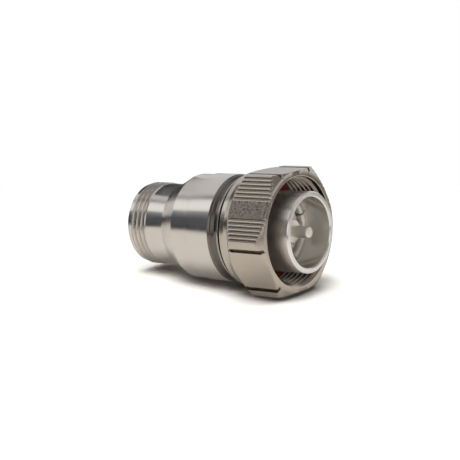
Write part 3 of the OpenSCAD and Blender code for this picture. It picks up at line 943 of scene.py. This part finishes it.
def floor_material(shade):
    """Matt paper floor: pale, lifted to plain white where it is seen, darker right under the adapter, and
    falling off to a dim room in mirrors."""
    material, tree = new_material("paper_sweep")
    seen = add(tree, "ShaderNodeLightPath").node.outputs

    # The lift, in full for the camera and in part for mirrors, and none once light has left a matt surface
    lift = add(tree, MATHS, (seen["Is Glossy Ray"], MIRRORED_LIFT, seen["Is Camera Ray"]),
               operation="MULTIPLY_ADD")
    lift = add(tree, MATHS, (lift, seen["Is Transmission Ray"]), operation="MAXIMUM")
    first = add(tree, MATHS, (seen["Diffuse Depth"], 0.5), operation="LESS_THAN")
    lift = add(tree, MATHS, (lift, first), operation="MULTIPLY")
    lift = add(tree, MATHS, (lift, PAPER_LIFT, 1.0), operation="MULTIPLY_ADD")

    # The contact shade, within 3 mm of what stands on the paper, and only for the camera
    sky = add(tree, "ShaderNodeAmbientOcclusion", {"Distance": 3 * MM}).node.outputs["AO"]
    contact = add(tree, RANGE, (sky, 0.15, 0.8, CONTACT_SHADE, 1.0), interpolation_type="SMOOTHSTEP")
    unseen = add(tree, MATHS, (1.0, seen["Is Camera Ray"]), operation="SUBTRACT")
    contact = add(tree, MATHS, (contact, unseen), operation="MAXIMUM")
    lift = add(tree, MATHS, (lift, contact), operation="MULTIPLY")
    paper = add(tree, VECTOR, {0: shade, "Scale": lift}, operation="SCALE")
    paper = add(tree, "ShaderNodeBsdfDiffuse", {"Color": paper})

    # In mirrors the paper glows a little, which fills undersides, and goes dark far from the adapter
    mirrored = add(tree, MATHS, (seen["Is Glossy Ray"], UNDERSIDE_GLOW), operation="MULTIPLY")
    glow = add(tree, "ShaderNodeEmission", {"Color": WHITE, "Strength": mirrored})
    lit = add(tree, "ShaderNodeAddShader", (paper, glow))
    place = add(tree, "ShaderNodeTexCoord").node.outputs["Object"]
    away = add(tree, VECTOR, (place, (MIDDLE.x, MIDDLE.y, 0)), operation="DISTANCE")
    dim = add(tree, RANGE, (away, 50 * MM, 280 * MM, 0.0, 0.88), interpolation_type="SMOOTHERSTEP")
    dim = add(tree, MATHS, (dim, seen["Is Glossy Ray"]), operation="MULTIPLY")
    room = add(tree, "ShaderNodeBsdfDiffuse", {"Color": (0, 0, 0, 1)})
    lit = add(tree, "ShaderNodeMixShader", (dim, lit, room))

    # To the camera the paper turns into a plain white backdrop away from the adapter
    backdrop = add(tree, RANGE, (away, 38 * MM, 110 * MM, 0.0, 1.0), interpolation_type="SMOOTHSTEP")
    backdrop = add(tree, MATHS, (backdrop, seen["Is Camera Ray"]), operation="MULTIPLY")
    white = add(tree, "ShaderNodeEmission", {"Color": WHITE, "Strength": 1.0})
    close_material(tree, add(tree, "ShaderNodeMixShader", (backdrop, lit, white)))
    return material


def studio_world():
    """Soft even light, with a white room for the camera and, for reflections, panels over a dim room."""
    world = bpy.data.worlds.new("studio")
    world.use_nodes = True
    tree = world.node_tree
    tree.nodes.clear()
    toward = add(tree, "ShaderNodeTexCoord").node.outputs["Generated"]
    parts = add(tree, "ShaderNodeSeparateXYZ", (toward,)).node.outputs
    near = add(tree, MATHS, (parts["Y"], -1.0), operation="MULTIPLY")
    roll = add(tree, MATHS, (near, parts["Z"]), operation="ARCTAN2")
    roll = add(tree, RANGE, (roll, -math.pi / 2, math.pi / 2, 0.0, 1.0))
    left = add(tree, "ShaderNodeValToRGB", (roll,), LEFT_PANELS)
    low = add(tree, RANGE, (parts["Z"], 0.0, 0.09, 0.12, 1.0), interpolation_type="SMOOTHSTEP")
    left = add(tree, VECTOR, {0: left, "Scale": low}, operation="SCALE")
    right = add(tree, "ShaderNodeValToRGB", (parts["Z"],), RIGHT_PANELS)
    side = add(tree, RANGE, (parts["X"], -0.15, 0.15, 0.0, 1.0), interpolation_type="SMOOTHSTEP")
    around = add(tree, BLEND, {"Factor": side, "A": left, "B": right}, data_type="RGBA")
    seen = add(tree, "ShaderNodeLightPath").node.outputs
    mirrored = add(tree, MATHS, (seen["Is Glossy Ray"], seen["Is Transmission Ray"]), operation="MAXIMUM")
    first = add(tree, MATHS, (seen["Diffuse Depth"], 0.5), operation="LESS_THAN")
    mirrored = add(tree, MATHS, (mirrored, first), operation="MULTIPLY")
    above = add(tree, RANGE, (parts["Z"], 0.0, 0.8, *AMBIENT), interpolation_type="SMOOTHSTEP")
    ambient = add(tree, "ShaderNodeBackground", {"Color": WHITE, "Strength": above})
    reflected = add(tree, "ShaderNodeBackground", {"Color": around, "Strength": 1.0})
    white = add(tree, "ShaderNodeBackground", {"Color": WHITE, "Strength": 1.0})
    lit = add(tree, "ShaderNodeMixShader", (mirrored, ambient, reflected))
    shown = add(tree, "ShaderNodeMixShader", (seen["Is Camera Ray"], lit, white))
    add(tree, "ShaderNodeOutputWorld", {"Surface": shown})
    bpy.context.scene.world = world


def hang_lamp(name, kind, place, target, power, **settings):
    """A soft lamp, left out of mirror reflections, which the room's own panels give."""
    lamp = bpy.data.lights.new(name, kind)
    lamp.energy = power
    for key, value in settings.items():
        setattr(lamp, key, value)
    holder = placed(name, lamp)
    holder.location = place
    holder.rotation_euler = (target - place).to_track_quat("-Z", "Y").to_euler()
    holder.visible_glossy = False


def black_card(station, near, far, low, high):
    """A small upright black card behind the rear end, seen only in mirror reflections: it darkens the top of
    the thread and the neck."""
    corners = [(station, near, low), (station, far, low), (station, far, high), (station, near, high)]
    mesh = mesh_of("black_card", corners, [(0, 1, 2, 3)])
    material, tree = new_material("black_card")
    close_material(tree, add(tree, "ShaderNodeEmission", {"Color": CARD_BLACK, "Strength": 1.0}))
    mesh.materials.append(material)
    card = placed("black_card", mesh)
    card.visible_camera = card.visible_diffuse = card.visible_shadow = card.visible_transmission = False


class ADAPTER_OT_stage(bpy.types.Operator):
    """Sets the floor, the lights and the camera"""
    bl_idname = "adapter.stage"
    bl_label = "Stage"

    def execute(self, context):
        size = context.scene.adapter_stage
        half = size.sweep / 2
        corners = [(MIDDLE.x + x * half, MIDDLE.y + y * half, CAD_BOX[0][2])
                   for x, y in ((-1, -1), (1, -1), (1, 1), (-1, 1))]
        floor = placed("floor", mesh_of("floor", corners, [(0, 1, 2, 3)]))
        floor.data.materials.append(floor_material(size.ground))
        studio_world()
        hang_lamp("key_softbox", "AREA", MIDDLE + Vector((-0.6, -0.45, 0.7)), MIDDLE, KEY_WATTS,
                  shape="RECTANGLE", size=0.9, size_y=0.3)
        hang_lamp("overhead", "AREA", MIDDLE + Vector((0.0, -0.22, 1.2)), MIDDLE, OVERHEAD_WATTS,
                  shape="SQUARE", size=0.75)
        mouth = AXIS * SLEEVE_FRONT
        hang_lamp("plug_snoot", "SPOT", mouth + AXIS * 0.3 + Vector((0, -0.1, 0.05)), mouth, SNOOT_WATTS,
                  spot_size=math.radians(3.4), spot_blend=1.0, shadow_soft_size=0.03)
        black_card(station=-4 * MM, near=-3.5 * MM, far=14 * MM, low=9 * MM, high=21.5 * MM)
        camera = bpy.data.cameras.new("camera")
        camera.lens = size.focal
        camera.sensor_width = 36
        camera.clip_start = 0.01
        holder = placed("camera", camera)
        away = Vector((math.sin(size.azimuth) * math.cos(size.elevation),
                       -math.cos(size.azimuth) * math.cos(size.elevation), math.sin(size.elevation)))
        holder.location = Vector(size.target) + away * size.distance
        holder.rotation_euler = (-away).to_track_quat("-Z", "Y").to_euler()
        context.scene.camera = holder
        context.scene.view_settings.view_transform = "Standard"
        return {"FINISHED"}


OPERATORS = (ADAPTER_OT_rear_body, ADAPTER_OT_front_body, ADAPTER_OT_nut, ADAPTER_OT_plug_inside,
             ADAPTER_OT_hidden_parts, ADAPTER_OT_stage)
GROUPS = {"adapter_body": AdapterBodySizes, "adapter_plug": AdapterPlugSizes, "adapter_nut": AdapterNutSizes,
          "adapter_stage": AdapterStageSizes}


class ADAPTER_PT_panel(bpy.types.Panel):
    """Lists the adapter's pieces and its stage"""
    bl_idname = "ADAPTER_PT_panel"
    bl_label = "Coaxial adapter"
    bl_space_type = "VIEW_3D"
    bl_region_type = "UI"
    bl_category = "Adapter"

    def draw(self, context):
        for operator in OPERATORS:
            self.layout.operator(operator.bl_idname)
        for name, group in GROUPS.items():
            box = self.layout.box()
            for key in group.__annotations__:
                box.prop(getattr(context.scene, name), key)


def register():
    for group in (*GROUPS.values(), *OPERATORS, ADAPTER_PT_panel):
        bpy.utils.register_class(group)
    for name, group in GROUPS.items():
        setattr(bpy.types.Scene, name, bpy.props.PointerProperty(type=group))


def unregister():
    for name in GROUPS:
        delattr(bpy.types.Scene, name)
    for group in (ADAPTER_PT_panel, *reversed(OPERATORS), *reversed(GROUPS.values())):
        bpy.utils.unregister_class(group)


def main():
    register()
    bpy.ops.adapter.stage()
    bpy.ops.adapter.rear_body()
    bpy.ops.adapter.front_body()
    bpy.ops.adapter.coupling_nut()
    bpy.ops.adapter.plug_inside()
    bpy.ops.adapter.hidden_parts()


if __name__ == "__main__":
    main()
